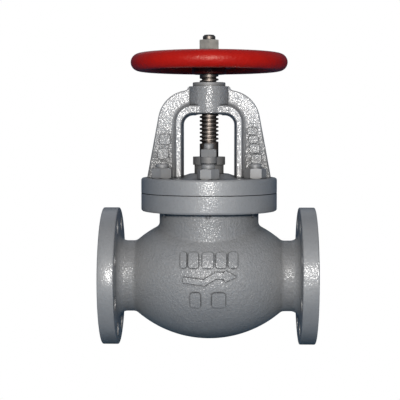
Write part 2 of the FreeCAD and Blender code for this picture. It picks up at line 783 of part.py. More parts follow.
def blank_marks(sketch, marks, lean=0.0):
    """Blank rectangles with rounded corners, each moved sideways by its height times a lean."""
    for left, right, low, high in marks:
        shift = lean * ((low + high) / 2 - LEG_MARK_LEVEL)
        corners = [
            Corner(left + shift, low, D.mark_corner),
            Corner(right + shift, low, D.mark_corner),
            Corner(right + shift, high, D.mark_corner),
            Corner(left + shift, high, D.mark_corner),
        ]
        draw_outline(sketch, corners)


def raised_marks():
    """The bent flow arrow and two rows of blank cast marks, standing proud of the globe's front."""
    skin_arc = D.globe_arc + D.mark_height
    centre = D.globe_height - D.globe_arc
    half = D.face_to_face / 4
    rim = Size(
        math.sqrt(skin_arc.value**2 - half.value**2) + centre.value,
        "(sqrt(" + skin_arc.text + " ^ 2 - " + half.text + " ^ 2) + " + centre.text + ")",
    )
    skin_outline = [Corner(-half, 0), Corner(-half, rim, bow=skin_arc), Corner(half, rim), Corner(half, 0)]
    skin = turned_body("marks_skin", skin_outline, "X_Axis")
    front = D.globe_height * MARKS_START
    outlines = new_body("marks_outlines")
    arrow = new_sketch(outlines, "flow_arrow", "XZ_Plane", front)
    draw_outline(arrow, [Corner(x, z) for x, z in FLOW_ARROW])
    pad(outlines, arrow, D.globe_height)
    rows = (
        ("upper_marks", UPPER_MARKS_FLOOR, UPPER_MARKS),
        ("lower_marks", LOWER_MARKS_FLOOR, LOWER_MARKS),
    )
    for name, floor, sides in rows:
        blanks = new_sketch(outlines, name, "XZ_Plane", front)
        blank_marks(blanks, [(left, right, floor, floor + D.mark_tall) for left, right in sides])
        pad(outlines, blanks, D.globe_height)
    return boolean("Common", "marks", skin, outlines)


# ---- the bonnet, with its yoke ----


def mirrored(right):
    """A closed outline from its right half, given from bottom to top."""
    left = [Corner(-size(c.x), c.y, c.rounded) for c in reversed(right)]
    return right + left


def yoke(body):
    """Two flat legs joined over a window whose edge is a deeper rib, with a round boss on top."""
    root = D.bonnet_top - SUNK
    web = new_sketch(body, "yoke_web", "XZ_Plane")
    web_half = [
        Corner(D.foot_half, root),
        Corner(D.shoulder_x, D.shoulder_z, D.shoulder_arc),
        Corner(D.boss_join_x, D.boss_join_z, D.boss_join_arc),
        Corner(D.boss_join_x, D.boss_join_top),
    ]
    draw_outline(web, mirrored(web_half))
    pad(body, web, D.web_deep, midplane=True)
    rib = new_sketch(body, "yoke_rib", "XZ_Plane")
    rib_x = D.window_half + D.rib_wide
    rib_half = [Corner(rib_x, root), Corner(rib_x, D.window_top + D.rib_top, D.window_corner + D.rib_wide)]
    draw_outline(rib, mirrored(rib_half))
    pad(body, rib, D.rib_deep, midplane=True)
    draft = Size(
        math.degrees(math.atan(D.window_draft.value / (D.rib_deep.value / 2))),
        "atan(" + D.window_draft.text + " / (" + D.rib_deep.text + " / 2))",
    )
    for side, backwards in (("front", False), ("back", True)):
        window = new_sketch(body, "yoke_window_" + side, "XZ_Plane")
        window_half = [
            Corner(D.window_half, root - OVERCUT),
            Corner(D.window_half, D.window_top, D.window_corner),
        ]
        draw_outline(window, mirrored(window_half))
        cut = pocket(body, window, D.rib_deep / 2 + OVERCUT, backwards=backwards)
        bind(cut, "TaperAngle", draft)
        doc.recompute()
    dress(body, "Fillet", D.web_fillet, web_foot_edge)
    dress(body, "Fillet", D.rib_edge, rib_front_edge)
    dress(body, "Fillet", D.web_edge, web_outer_edge)
    boss = new_sketch(body, "yoke_boss", "XY_Plane", D.boss_floor)
    draw_circle(boss, D.boss_od / 2)
    pad(body, boss, D.boss_top - D.boss_floor)
    for name, marks, lean in (
        ("left_leg_marks", LEFT_LEG_MARKS, LEG_MARK_LEAN),
        ("right_leg_marks", RIGHT_LEG_MARKS, -LEG_MARK_LEAN),
    ):
        blanks = new_sketch(body, name, "XZ_Plane", D.web_deep / 2)
        blank_marks(blanks, marks, lean)
        pad(body, blanks, D.leg_mark_height)


def lies_at_depth(edge, depth):
    """True for an edge in the plane y = +depth or y = -depth, above the yoke's foot and below its boss."""
    box = edge.BoundBox
    flat = abs(abs(box.YMin) - depth) < CLOSE and box.YLength < CLOSE
    at_end = is_level(edge, D.bonnet_top.value - SUNK) or is_level(edge, D.boss_join_top.value)
    return flat and not at_end


def is_on_rib(edge):
    """True for an edge inside the rib's outline, or on it."""
    box = edge.BoundBox
    side = D.window_half.value + D.rib_wide.value + CLOSE
    top = D.window_top.value + D.rib_top.value + CLOSE
    return box.XMax < side and box.XMin > -side and box.ZMax < top


def web_foot_edge(edge):
    """The edges where the window's rib rises from the flat web."""
    return lies_at_depth(edge, D.web_deep.value / 2) and is_on_rib(edge)


def rib_front_edge(edge):
    """The long edges of the rib's front and back faces."""
    return lies_at_depth(edge, D.rib_deep.value / 2)


def web_outer_edge(edge):
    """The outer edges of the web."""
    return lies_at_depth(edge, D.web_deep.value / 2) and not is_on_rib(edge)


def is_level(edge, height):
    """True for an edge that lies at one height."""
    return all(abs(v.Point.z - height) < CLOSE for v in edge.Vertexes)


def bonnet():
    """The flange, packing box, spigot and yoke, cast in one piece."""
    body = new_body("bonnet")
    yoke(body)
    flange = new_sketch(body, "cover_flange", "XY_Plane", BONNET_FLOOR)
    draw_circle(flange, D.cover_od / 2)
    pad(body, flange, D.bonnet_top - BONNET_FLOOR)
    dress(body, "Fillet", D.cover_edge, circle_edge(D.cover_od / 2, D.bonnet_top))
    hub = new_sketch(body, "packing_box", "XZ_Plane")
    inside = BONNET_FLOOR + OVERCUT
    draw_outline(
        hub,
        [
            Corner(0, D.back_seat_floor),
            Corner(D.box_od / 2, D.back_seat_floor),
            Corner(D.box_od / 2, inside),
            Corner(D.hub_foot_od / 2, inside),
            Corner(D.hub_foot_od / 2, D.bonnet_top),
            Corner(D.hub_od / 2, D.hub_top),
            Corner(0, D.hub_top),
        ],
    )
    turned(body, hub, "Revolution")
    spigot = new_sketch(body, "spigot", "XZ_Plane")
    outer = D.neck_bore / 2 - D.stem_play
    floor = BONNET_FLOOR - D.spigot_depth
    inner = outer - D.spigot_wall
    spigot_outline = [Corner(inner, floor), Corner(outer, floor), Corner(outer, inside), Corner(inner, inside)]
    draw_outline(spigot, spigot_outline)
    turned(body, spigot, "Revolution")
    bosses = new_sketch(body, "gland_bosses", "XY_Plane", D.bonnet_top - SUNK)
    draw_circle(bosses, D.gland_boss / 2, 0, D.gland_pitch / 2)
    draw_circle(bosses, D.gland_boss / 2, 0, -(D.gland_pitch / 2))
    pad(body, bosses, D.hub_top - D.bonnet_top + SUNK)
    bore = new_sketch(body, "packing_chamber", "XZ_Plane")
    chamber_radius = D.packing_od / 2
    draw_outline(
        bore,
        [
            Corner(0, D.back_seat_floor - OVERCUT),
            Corner(D.bush_od / 2, D.back_seat_floor - OVERCUT),
            Corner(D.bush_od / 2, D.packing_floor),
            Corner(chamber_radius, D.packing_floor),
            Corner(chamber_radius, D.hub_top + OVERCUT),
            Corner(0, D.hub_top + OVERCUT),
        ],
    )
    turned(body, bore, "Groove")
    stud_hole = new_sketch(body, "stud_holes", "XY_Plane", D.bonnet_top + OVERCUT)
    draw_circle(stud_hole, D.stud_size / 2 + D.stud_clearance, 0, -(D.stud_pcd / 2))
    cut = pocket(body, stud_hole, D.bonnet_top - BONNET_FLOOR + 2 * OVERCUT)
    polar(body, cut, "Z_Axis", STUD_COUNT)
    gland_hole = new_sketch(body, "gland_stud_holes", "XY_Plane", D.hub_top)
    draw_circle(gland_hole, D.gland_stud / 2, 0, D.gland_pitch / 2)
    draw_circle(gland_hole, D.gland_stud / 2, 0, -(D.gland_pitch / 2))
    pocket(body, gland_hole, D.gland_stud_depth)
    bush_hole = new_sketch(body, "yoke_bush_hole", "XY_Plane", D.boss_top)
    draw_circle(bush_hole, D.yoke_bush_od / 2)
    pocket(body, bush_hole, D.boss_top - D.window_top + OVERCUT)
    screw_hole = new_sketch(body, "bush_screw_hole", "XZ_Plane", SCREW_END)
    draw_circle(screw_hole, D.bush_screw / 2, 0, D.bush_screw_height)
    pocket(body, screw_hole, D.boss_od / 2)
    place(body)


# ---- pieces inside the body and the bonnet ----


def seat_ring():
    """The bronze seat, let into the bridge wall, with a raised land for the disc."""
    inner = D.seat_bore / 2
    shank = D.seat_shank / 2
    outer = D.seat_od / 2
    land = D.disc_od / 2 - D.seat_land_inset
    floor = D.bridge_height - D.bridge_wall / 2
    shelf = D.bridge_height + D.bridge_wall / 2
    corners = [
        Corner(inner, floor),
        Corner(shank, floor),
        Corner(shank, shelf),
        Corner(outer, shelf),
        Corner(outer, SEAT_TOP),
        Corner(land, SEAT_TOP),
        Corner(land, SEAT_TOP + D.seat_land),
        Corner(inner, SEAT_TOP + D.seat_land),
    ]
    place(turned_body("seat_ring", corners))


def disc():
    """The disc, with a pocketed hub that holds the stem's foot."""
    edge = D.disc_od / 2
    hub = D.disc_hub_od / 2
    hole = D.disc_pocket / 2
    hub_top = DISC_TOP + D.disc_hub_height
    corners = [
        Corner(0, DISC_FLOOR),
        Corner(edge, DISC_FLOOR),
        Corner(edge, DISC_TOP - D.disc_bevel, D.disc_round),
        Corner(hub + D.disc_round, DISC_TOP),
        Corner(hub, DISC_TOP + D.disc_round),
        Corner(hub, hub_top),
        Corner(hole, hub_top),
        Corner(hole, DISC_TOP),
        Corner(0, DISC_TOP),
    ]
    body = turned_body("disc", corners)
    hole_sketch = new_sketch(body, "lock_hole", "YZ_Plane", hole - OVERCUT)
    draw_circle(hole_sketch, D.lock_screw / 2, 0, hub_top - D.lock_drop)
    pocket(body, hole_sketch, hub, backwards=True)
    place(body)


def disc_nut():
    """The ring nut that keeps the stem's foot in the disc, with a hexagon above the hub."""
    body = new_body("disc_nut")
    hub_top = DISC_TOP + D.disc_hub_height
    shank = new_sketch(body, "nut_shank", "XY_Plane", FOOT_TOP + D.stem_play)
    draw_circle(shank, D.disc_pocket / 2)
    pad(body, shank, hub_top - FOOT_TOP - D.stem_play)
    head = new_sketch(body, "nut_hexagon", "XY_Plane", hub_top)
    draw_hexagon(head, D.disc_nut_flats)
    pad(body, head, D.disc_nut_head)
    bore = new_sketch(body, "nut_bore", "XY_Plane", FOOT_TOP)
    draw_circle(bore, D.stem_od / 2 + 2 * D.stem_play)
    pocket(body, bore, D.lift + D.disc_hub_height, backwards=True)
    lock = new_sketch(body, "nut_lock_hole", "YZ_Plane", LOCK_END)
    draw_circle(lock, D.lock_screw / 2, 0, hub_top - D.lock_drop)
    pocket(body, lock, D.disc_pocket, backwards=True)
    place(body)


def disc_lock_screw():
    """The grub screw that locks the ring nut in the disc's hub."""
    body = new_body("disc_lock_screw")
    sketch = new_sketch(body, "screw_circle", "YZ_Plane", LOCK_END)
    draw_circle(sketch, D.lock_screw / 2, 0, DISC_TOP + D.disc_hub_height - D.lock_drop)
    pad(body, sketch, D.lock_screw_length)
    place(body)


def packing():
    """The bush at the back seat, the washer on it and the packing rings up to the gland."""
    inner = D.stem_od / 2 + D.stem_play
    outer = D.packing_od / 2
    place(ring("back_seat_bush", inner, D.bush_od / 2, D.back_seat_floor, D.packing_floor))
    first = D.packing_floor + PACKING_WASHER
    place(ring("packing_washer", inner, outer, D.packing_floor, first))
    for number in range(int(D.packing_count.value)):
        floor = first + D.packing_section * number
        place(ring("packing_ring_" + str(number + 1), inner, outer, floor, floor + D.packing_section))


def gland():
    """The gland: a sleeve that presses on the packing, and two ears for its studs."""
    body = new_body("gland")
    ears = new_sketch(body, "ears", "XY_Plane", D.gland_top - D.gland_ear_thick)
    half = D.gland_ear / 2
    far = D.gland_pitch / 2 + half
    rounding = half - BIT_LEFT
    ears_outline = [
        Corner(-half, -far, rounding),
        Corner(half, -far, rounding),
        Corner(half, far, rounding),
        Corner(-half, far, rounding),
    ]
    draw_outline(ears, ears_outline)
    pad(body, ears, D.gland_ear_thick)
    sleeve = new_sketch(body, "sleeve", "XZ_Plane")
    sleeve_radius = D.packing_od / 2 - D.gland_play
    foot = D.packing_floor + PACKING_WASHER + D.packing_section * D.packing_count
    corners = [
        Corner(0, foot),
        Corner(sleeve_radius, foot),
        Corner(sleeve_radius, D.gland_floor),
        Corner(D.gland_od / 2, D.gland_floor),
        Corner(D.gland_od / 2, D.gland_top),
        Corner(0, D.gland_top),
    ]
    draw_outline(sleeve, corners)
    turned(body, sleeve, "Revolution")
    dress(body, "Fillet", D.gland_edge, circle_edge(D.gland_od / 2, D.gland_floor))
    bore = new_sketch(body, "gland_bore", "XY_Plane", D.gland_top)
    draw_circle(bore, D.stem_od / 2 + 2 * D.stem_play)
    pocket(body, bore, D.gland_top - D.packing_floor)
    holes = new_sketch(body, "ear_holes", "XY_Plane", D.gland_top)
    draw_circle(holes, D.gland_stud / 2 + D.stud_clearance, 0, D.gland_pitch / 2)
    draw_circle(holes, D.gland_stud / 2 + D.stud_clearance, 0, -(D.gland_pitch / 2))
    pocket(body, holes, D.gland_ear_thick + OVERCUT)
    place(body)


# ---- fasteners ----


def fasteners():
    """Six bonnet studs with nuts and two gland studs with nuts."""
    stud_floor = D.body_flange_top - D.stud_depth
    stud_length = D.bonnet_top + D.nut_thick + D.stud_above_nut - stud_floor
    for number, nut_turn in enumerate(NUT_TURNS):
        angle = math.radians(STUD_STEP * number - 90)
        x = D.stud_pcd / 2 * math.cos(angle)
        y = D.stud_pcd / 2 * math.sin(angle)
        tag = str(number + 1)
        stud = rod("bonnet_stud_" + tag, D.stud_size, stud_length, D.stud_bevel, D.stud_dome)
        place(stud, x, y, stud_floor)
        nut = hex_nut("bonnet_nut_" + tag, D.nut_flats, D.nut_thick, D.stud_size)
        place(nut, x, y, D.bonnet_top, nut_turn)
    stud_floor = D.hub_top - D.gland_stud_depth
    stud_length = D.gland_stud_top - stud_floor
    for tag, side, nut_turn in GLAND_NUTS:
        y = side * D.gland_pitch / 2
        stud = rod("gland_stud_" + tag, D.gland_stud, stud_length, D.gland_stud_bevel, D.gland_stud_dome)
        place(stud, 0, y, stud_floor)
        nut = hex_nut("gland_nut_" + tag, D.gland_nut_flats, D.gland_nut_thick, D.gland_stud)
        place(nut, 0, y, D.gland_top, nut_turn)


# ---- the rising stem with its handwheel ----


def thread_profile(sketch, base, root, crest, play, outward):
    """The section cut out for one turn of thread, on the +X side, wider outward or inward."""
    flank = math.radians(THREAD_FLANK)
    tangent = math.tan(flank)
    middle = D.stem_od / 2 - D.thread_pitch / 4
    half_pitch = D.thread_pitch / 4 + play / math.cos(flank)
    sign = 1 if outward else -1
    root_half = half_pitch + sign * (root - middle) * tangent
    crest_half = half_pitch + sign * (crest - middle) * tangent
    corners = [
        Corner(root, base - root_half),
        Corner(crest, base - crest_half),
        Corner(crest, base + crest_half),
        Corner(root, base + root_half),
    ]
    draw_outline(sketch, corners)


def helix_cut(body, sketch, length):
    """Cuts a right-hand helix along the stem's axis."""
    feature = body.newObject("PartDesign::SubtractiveHelix", sketch.Name + "_helix")
    feature.Profile = sketch
    feature.ReferenceAxis = (origin_part(body, "Z_Axis"), [""])
    feature.Mode = "pitch-height-angle"
    bind(feature, "Pitch", D.thread_pitch)
    bind(feature, "Height", length)
    feature.Angle = 0
    feature.LeftHanded = False
    doc.recompute()
    return feature


def yoke_bush():
    """The threaded bush in the yoke's boss; its collar rests on top of the boss."""
    body = new_body("yoke_bush")
    bore = D.stem_od / 2 - D.thread_depth + D.thread_play
    shank = D.yoke_bush_od / 2
    collar = D.collar_od / 2
    collar_top = D.boss_top + D.collar_thick
    outline = new_sketch(body, "bush_outline", "XZ_Plane")
    corners = [
        Corner(bore, D.window_top + D.window_draft),
        Corner(shank, D.window_top + D.window_draft),
        Corner(shank, D.boss_top),
        Corner(collar, D.boss_top),
        Corner(collar, collar_top, D.collar_edge),
        Corner(bore, collar_top),
    ]
    draw_outline(outline, corners)
    turned(body, outline, "Revolution")
    thread = new_sketch(body, "bush_thread", "XZ_Plane")
    turns_below = math.floor((D.window_top.value - D.thread_start.value) / D.thread_pitch.value) - 1
    base = D.thread_start + D.thread_pitch * (turns_below + 0.5)
    thread_profile(thread, base, bore - OVERCUT, D.stem_od / 2 + D.thread_play, D.thread_play, False)
    helix_cut(body, thread, collar_top - base + D.thread_pitch)
    screw = new_sketch(body, "bush_screw_seat", "XZ_Plane", SCREW_END)
    draw_circle(screw, D.bush_screw / 2, 0, D.bush_screw_height)
    pocket(body, screw, D.yoke_bush_od / 2)
    place(body)
    grub = new_body("yoke_bush_screw")
    sketch = new_sketch(grub, "grub_circle", "XZ_Plane", SCREW_END)
    draw_circle(sketch, D.bush_screw / 2, 0, D.bush_screw_height)
    boss_wall = D.boss_od / 2 - D.yoke_bush_od / 2
    pad(grub, sketch, boss_wall + D.bush_screw_bite - D.bush_screw_drop, backwards=True)
    place(grub)


def draw_square(sketch, half):
    """A square about the stem's axis, by half its side."""
    draw_outline(sketch, [Corner(-half, -half), Corner(half, -half), Corner(half, half), Corner(-half, half)])


def stem():
    """The stem: foot in the disc, back-seat collar, thread, square for the handwheel and threaded end."""
    body = new_body("stem")
    radius = D.stem_od / 2
    foot = D.stem_foot / 2
    foot_floor = DISC_TOP + D.stem_play
    collar = D.back_collar_od / 2
    collar_top = D.back_seat_floor - D.lift - 2 * D.stem_play
    square_top = D.wheel_hub_top - D.square_drop
    corners = [
        Corner(0, foot_floor),
        Corner(foot, foot_floor),
        Corner(foot, FOOT_TOP),
        Corner(radius, FOOT_TOP),
        Corner(radius, collar_top - D.back_collar_thick),
        Corner(collar, collar_top - D.back_collar_thick),
        Corner(collar, collar_top - D.back_collar_cone),
        Corner(radius, collar_top),
        Corner(radius, square_top),
        Corner(D.stud_size / 2, square_top),
        Corner(D.stud_size / 2, D.stem_top - D.stem_tip),
        Corner(D.stud_size / 2 - D.stem_tip, D.stem_top),
        Corner(0, D.stem_top),
    ]
    outline = new_sketch(body, "stem_outline", "XZ_Plane")
    draw_outline(outline, corners)
    turned(body, outline, "Revolution")
    square = new_sketch(body, "wheel_square", "XY_Plane", D.wheel_hub_floor)
    draw_square(square, D.square / 2)
    draw_circle(square, radius + OVERCUT)
    pocket(body, square, square_top - D.wheel_hub_floor, backwards=True)
    thread = new_sketch(body, "stem_thread", "XZ_Plane")
    thread_profile(thread, D.thread_start, radius - D.thread_depth, radius + OVERCUT, 0, True)
    helix_cut(body, thread, D.wheel_hub_floor - D.thread_start - D.thread_pitch / 2)
    place(body)


def handwheel():
    """The handwheel: a round rim, flat-oval spokes and a hub with a square hole."""
    body = new_body("handwheel")
    rim = new_sketch(body, "rim_section", "XZ_Plane")
    draw_circle(rim, D.rim_section / 2, D.wheel_od / 2 - D.rim_section / 2, D.rim_height)
    turned(body, rim, "Revolution")
    spoke_start = D.wheel_hub_od / 2 - D.spoke_root
    spoke = new_sketch(body, "spoke_section", "YZ_Plane", spoke_start)
    half = D.spoke_wide / 2
    low = D.rim_height - D.spoke_thick / 2
    high = D.rim_height + D.spoke_thick / 2
    rounding = D.spoke_thick / 2 - BIT_LEFT
    spoke_outline = [
        Corner(-half, low, rounding),
        Corner(half, low, rounding),
        Corner(half, high, rounding),
        Corner(-half, high, rounding),
    ]
    draw_outline(spoke, spoke_outline)
    spoke_pad = pad(body, spoke, D.wheel_od / 2 - D.rim_section / 2 - spoke_start)
    polar(body, spoke_pad, "Z_Axis", D.spoke_count)
    hub = new_sketch(body, "wheel_hub", "XY_Plane", D.wheel_hub_floor)
    draw_circle(hub, D.wheel_hub_od / 2)
    pad(body, hub, D.wheel_hub_top - D.wheel_hub_floor)
    dress(body, "Fillet", D.wheel_hub_edge, circle_edge(D.wheel_hub_od / 2, D.wheel_hub_floor))
    dress(body, "Fillet", D.wheel_hub_edge, circle_edge(D.wheel_hub_od / 2, D.wheel_hub_top))
    square = new_sketch(body, "wheel_square_hole", "XY_Plane", D.wheel_hub_floor)
    draw_square(square, D.square / 2 + D.square_play)
    pocket(body, square, D.wheel_hub_top - D.wheel_hub_floor + OVERCUT, backwards=True)
    place(body)
    washer_top = D.wheel_hub_top + D.washer_thick
    washer_bore = D.stud_size / 2 + D.stud_clearance
    place(ring("handwheel_washer", washer_bore, D.washer_od / 2, D.wheel_hub_top, washer_top))
    nut = hex_nut("handwheel_nut", D.nut_flats, D.nut_thick, D.stud_size)
    place(nut, 0, 0, washer_top, 30)


def check_and_write():
    """Stops on any failed feature or bad shape, and then writes one STEP file per piece."""
    doc.recompute()
    for thing in doc.Objects:
        if "Invalid" in thing.State or "Error" in thing.State:
            raise RuntimeError(thing.Name + ": " + thing.getStatusString())
    for piece in subparts:
        shape = piece.Shape
        if shape.isNull() or not shape.isValid() or len(shape.Solids) != 1:
            raise RuntimeError(piece.Label + " is not one valid solid")
    os.makedirs("parts", exist_ok=True)
    for piece in subparts:
        piece.Shape.exportStep("parts/" + piece.Label + ".step")
        print(piece.Label, round(piece.Shape.Volume))


casting()
seat_ring()
place(ring("bonnet_gasket", D.neck_bore / 2, D.gasket_od / 2, D.body_flange_top, BONNET_FLOOR))
bonnet()
packing()
gland()
fasteners()
yoke_bush()
disc()
disc_nut()
disc_lock_screw()
stem()
handwheel()
check_and_write()
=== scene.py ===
import math

import bpy
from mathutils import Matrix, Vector


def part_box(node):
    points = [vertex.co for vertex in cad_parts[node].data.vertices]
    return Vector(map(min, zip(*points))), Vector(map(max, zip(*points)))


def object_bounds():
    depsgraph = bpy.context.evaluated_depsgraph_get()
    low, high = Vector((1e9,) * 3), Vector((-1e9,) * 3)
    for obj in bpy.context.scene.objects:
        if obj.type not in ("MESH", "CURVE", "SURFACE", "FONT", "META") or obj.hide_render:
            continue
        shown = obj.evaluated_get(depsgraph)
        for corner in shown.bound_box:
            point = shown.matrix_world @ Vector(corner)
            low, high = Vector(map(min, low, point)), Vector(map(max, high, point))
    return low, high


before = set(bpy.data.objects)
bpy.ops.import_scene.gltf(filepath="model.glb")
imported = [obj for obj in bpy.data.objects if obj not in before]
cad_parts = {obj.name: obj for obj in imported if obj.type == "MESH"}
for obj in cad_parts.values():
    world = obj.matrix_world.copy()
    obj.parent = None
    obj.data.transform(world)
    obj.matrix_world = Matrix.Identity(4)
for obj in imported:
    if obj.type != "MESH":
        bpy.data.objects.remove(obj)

# All lengths are in metres.

CAD_BOX = [list(corner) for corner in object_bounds()]
LOW, HIGH = (Vector(corner) for corner in CAD_BOX)

# The stem's axis, the reach from it to either end flange's face, and the level the valve stands over.
STEM_X = (LOW.x + HIGH.x) / 2
END_REACH = (HIGH.x - LOW.x) / 2
FLOOR_Z = LOW.z
STEM_AXIS = (STEM_X, 0.0, 0.0)

# The end flanges and the bonnet joint are turned on their rims: radius, and depth of the turned band.
END_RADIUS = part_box("valve_body")[1].y
END_BAND = 0.022
JOINT_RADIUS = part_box("bonnet")[1].y
JOINT_BAND = 0.0225
JOINT_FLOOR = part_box("bonnet_gasket")[0].z - JOINT_BAND
SKIN = 0.001

# The yoke: where its legs start, its boss, and the distances from the middle plane over which the ribs' front
# faces come in and the webs' faces end.
YOKE_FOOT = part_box("bonnet_nut_1")[0].z
FOOT_FILLET = 0.004
BOSS_RADIUS = 0.0275
RIB_FRONT = (0.0215, 0.0228)
WEB_FACE = (0.0088, 0.0094)

# Heights on the yoke's webs for painted shade low down, a painted highlight at the top, and gloss rising
# upwards.
WEB_PAINTED_SHADE = (0.145, 0.205)
WEB_PAINTED_HIGHLIGHT = (0.175, 0.215)
WEB_GLOSS = (0.16, 0.22)

# The wheel's middle height, how far under it the shade about the hub is full, and the radii over which that
# shade fades.
WHEEL_MIDDLE = (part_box("handwheel")[0].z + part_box("handwheel")[1].z) / 2
HUB_SHADE_DROP = 0.008
HUB_SHADE = (0.035, 0.07)

# Colours are linear. The cast paint's shades are shares of its level, each with its warmth.
WHITE = (1.0, 1.0, 1.0, 1.0)
CAST_LEVEL = 0.30
# The gland's paint is a darker copy of the grey paint: painted shade.
GLAND_SHADED_LEVEL = 0.235
CAST_SHADES = {
    "deep": (0.95, 0.005),
    "pale": (1.05, 0.02),
    "stain": (0.72, 0.02),
    # Painted shade low on the webs, then a painted highlight at their tops.
    "web_painted_shade": (0.42, 0.02),
    "web_painted_highlight": (1.75, 0.01),
    # A painted highlight on the ribs' fronts.
    "rib": (1.5, 0.01),
    "pit": (0.5, 0.01),
    # Painted shade in corners.
    "corner": (0.5, -0.02),
    # Painted shade in tight crevices and between parts.
    "crevice_shade": (0.2, -0.02),
    "worn": (1.5, 0.01),
}
RED_DEEP = (0.36, 0.004, 0.002, 1.0)
RED_PALE = (0.45, 0.008, 0.003, 1.0)
# Painted shade in the wheel's corners and under its rim.
RED_CORNER_SHADE = (0.012, 0.0005, 0.0005, 1.0)
# Painted shade under the hub.
RED_HUB_SHADE = (0.02, 0.001, 0.001, 1.0)
RED_WORN = (0.16, 0.02, 0.015, 1.0)
RED_SHEEN = (1.0, 0.8, 0.68, 1.0)
STEM_STEEL = ((0.165, 0.14, 0.12, 1.0), (0.27, 0.232, 0.205, 1.0))
NUT_STEEL = ((0.60, 0.55, 0.46, 1.0), (0.74, 0.69, 0.60, 1.0))
BRONZE = ((0.50, 0.30, 0.12, 1.0), (0.66, 0.44, 0.20, 1.0))
FLOOR_BOUNCE = (0.08, 0.20, 0.33, 1.0)
ROOM_BELOW = (0.01, 0.03, 0.055, 1.0)
ROOM_LEVEL = (0.03, 0.07, 0.125, 1.0)
ROOM_ABOVE = (0.19, 0.23, 0.29, 1.0)

# Share of metal in the silver-grey paint.
FLAKE = 0.35

# Points closer than this are one, and faces meeting at more than this angle keep a sharp edge.
SAME_POINT = 1e-6
SHARP = math.radians(28)

FLOOR_REACH = 6.0

# Place, side, power in watts and colour of each square lamp, all aimed at the bonnet's foot.
LAMP_AIM = (STEM_X, 0.0, 0.09)
LAMPS = {
    "back_fill": ((STEM_X - 0.3, 1.9, 1.7), 1.4, 4.0, (0.95, 0.97, 1.0)),
    "front_flash": ((STEM_X + 0.02, -1.5, 0.34), 0.13, 21.5, (1.0, 0.98, 0.955)),
}

# A long lens, in millimetres, and the angles it looks down and to the left.
LENS = 102.7
SENSOR = 36.0
CAMERA_PLACE = (STEM_X + 0.0230, -1.4565, 0.185)
CAMERA_DOWN = math.radians(3.45)
CAMERA_LEFT = math.radians(1.36)
CAMERA_FAR = 50.0


# ---- node helpers ----


class Nodes:
    """Adds nodes to one node tree."""

    def __init__(self, tree):
        self.tree = tree

    def add(self, kind, inputs=None, **settings):
        node = self.tree.nodes.new(kind)
        for key, value in settings.items():
            setattr(node, key, value)
        for key, value in (inputs or {}).items():
            self.feed(node.inputs[key], value)
        return node

    def feed(self, socket, value):
        """Links a socket to another, or sets it to a constant."""
        if isinstance(value, bpy.types.NodeSocket):
            self.tree.links.new(value, socket)
        else:
            socket.default_value = value

    def camera_sees(self, seen, unseen):
        """One shader for what the camera sees and another for the light it gives."""
        is_camera = self.add("ShaderNodeLightPath").outputs["Is Camera Ray"]
        return self.add("ShaderNodeMixShader", {0: is_camera, 1: unseen, 2: seen}).outputs[0]


